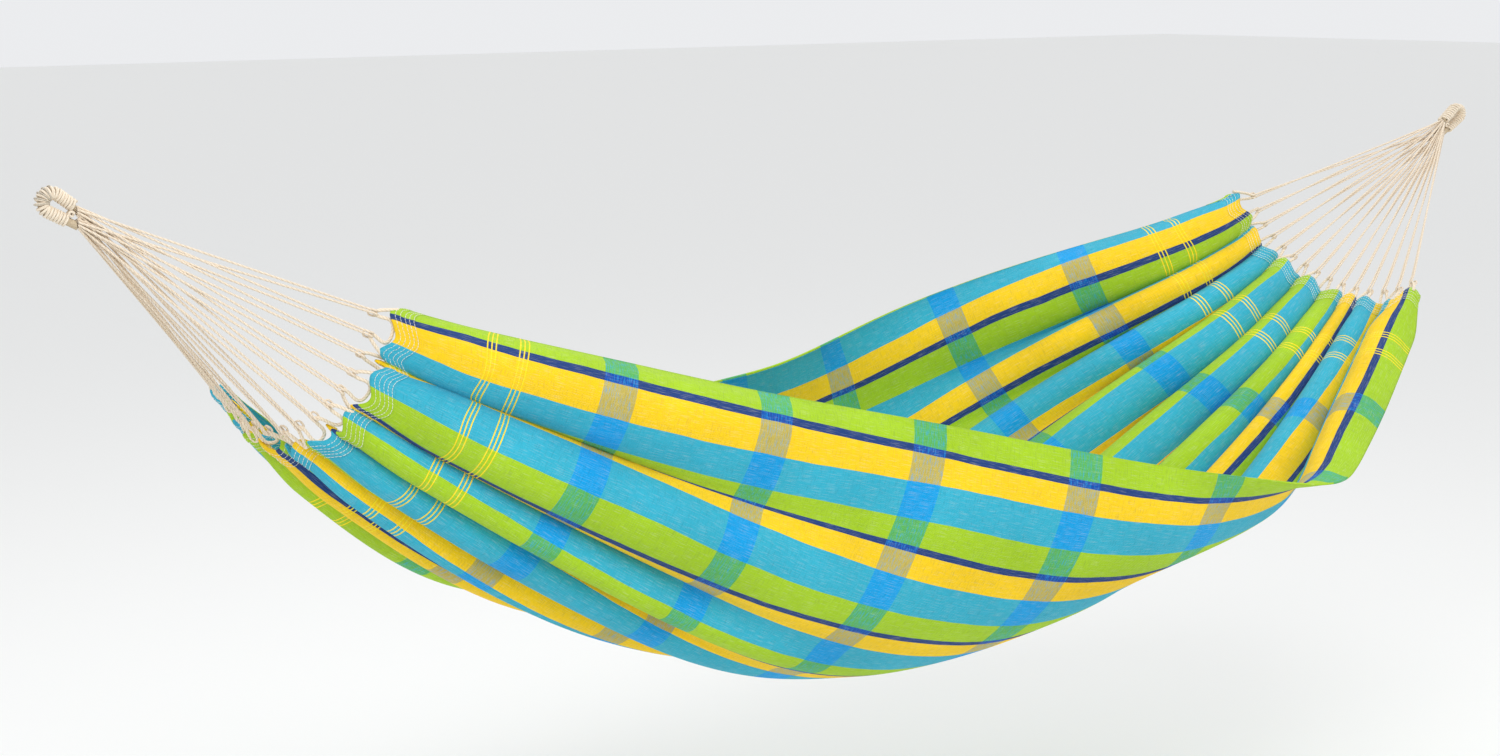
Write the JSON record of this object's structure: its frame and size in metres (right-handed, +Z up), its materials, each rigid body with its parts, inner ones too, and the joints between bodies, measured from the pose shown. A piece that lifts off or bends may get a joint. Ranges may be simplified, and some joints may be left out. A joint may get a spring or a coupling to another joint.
{
  "type": "rope hammock",
  "caption": "Hanging hammock with a striped woven cotton bed, hung at each end by a fan of doubled cords from a whipped rope eye.",
  "frame": {"origin": "the point of the left eye that bears on its hook", "axes": "+X towards the right eye's hook, +Z up; the near selvedge is on the -Y side"},
  "size_m": [2.9084, 0.9381, 0.9287],
  "materials": {
    "bed_cotton": "plain-woven striped cotton",
    "cotton_cord": "twisted undyed cotton cord",
    "cotton_rope": "undyed cotton rope",
    "whipping_cord": "undyed cotton cord wound turn beside turn"
  },
  "bodies": {
    "left_eye": {"left_eye_core": "cotton_rope", "left_eye_whipping": "whipping_cord", "left_neck_knot": "whipping_cord"},
    "bed": {"bed_cloth": "bed_cotton", "left_hem": "bed_cotton", "left_hem_cord": "cotton_rope", "left_cord_crossing": "cotton_cord", "right_hem": "bed_cotton", "right_hem_cord": "cotton_rope", "right_cord_crossing": "cotton_cord", "left_cord_01": "cotton_cord", "left_cord_02": "cotton_cord", "left_cord_03": "cotton_cord", "left_cord_04": "cotton_cord", "left_cord_05": "cotton_cord", "left_cord_06": "cotton_cord", "left_cord_07": "cotton_cord", "left_cord_08": "cotton_cord", "left_cord_09": "cotton_cord", "left_cord_10": "cotton_cord", "left_cord_11": "cotton_cord", "left_cord_12": "cotton_cord", "left_cord_13": "cotton_cord", "left_cord_14": "cotton_cord", "left_cord_15": "cotton_cord", "right_cord_01": "cotton_cord", "right_cord_02": "cotton_cord", "right_cord_03": "cotton_cord", "right_cord_04": "cotton_cord", "right_cord_05": "cotton_cord", "right_cord_06": "cotton_cord", "right_cord_07": "cotton_cord", "right_cord_08": "cotton_cord", "right_cord_09": "cotton_cord", "right_cord_10": "cotton_cord", "right_cord_11": "cotton_cord", "right_cord_12": "cotton_cord", "right_cord_13": "cotton_cord", "right_cord_14": "cotton_cord", "right_cord_15": "cotton_cord"},
    "right_eye": {"right_eye_core": "cotton_rope", "right_eye_whipping": "whipping_cord", "right_neck_knot": "whipping_cord"}
  },
  "joints": [
    {"name": "bed_swing", "type": "hinge", "parent": "left_eye", "child": "bed", "pos_m": [0.03482, 0, -0.02349], "axis": [1, 0, 0], "range_deg": [-35, 35]},
    {"name": "right_neck_turn", "type": "hinge", "parent": "bed", "child": "right_eye", "pos_m": [2.82882, 0, -0.02349], "axis": [1, 0, 0], "range_deg": [-35, 35]}
  ],
  "couplings": [
    {"joint": "right_neck_turn", "follows": "bed_swing", "ratio": -1}
  ]
}
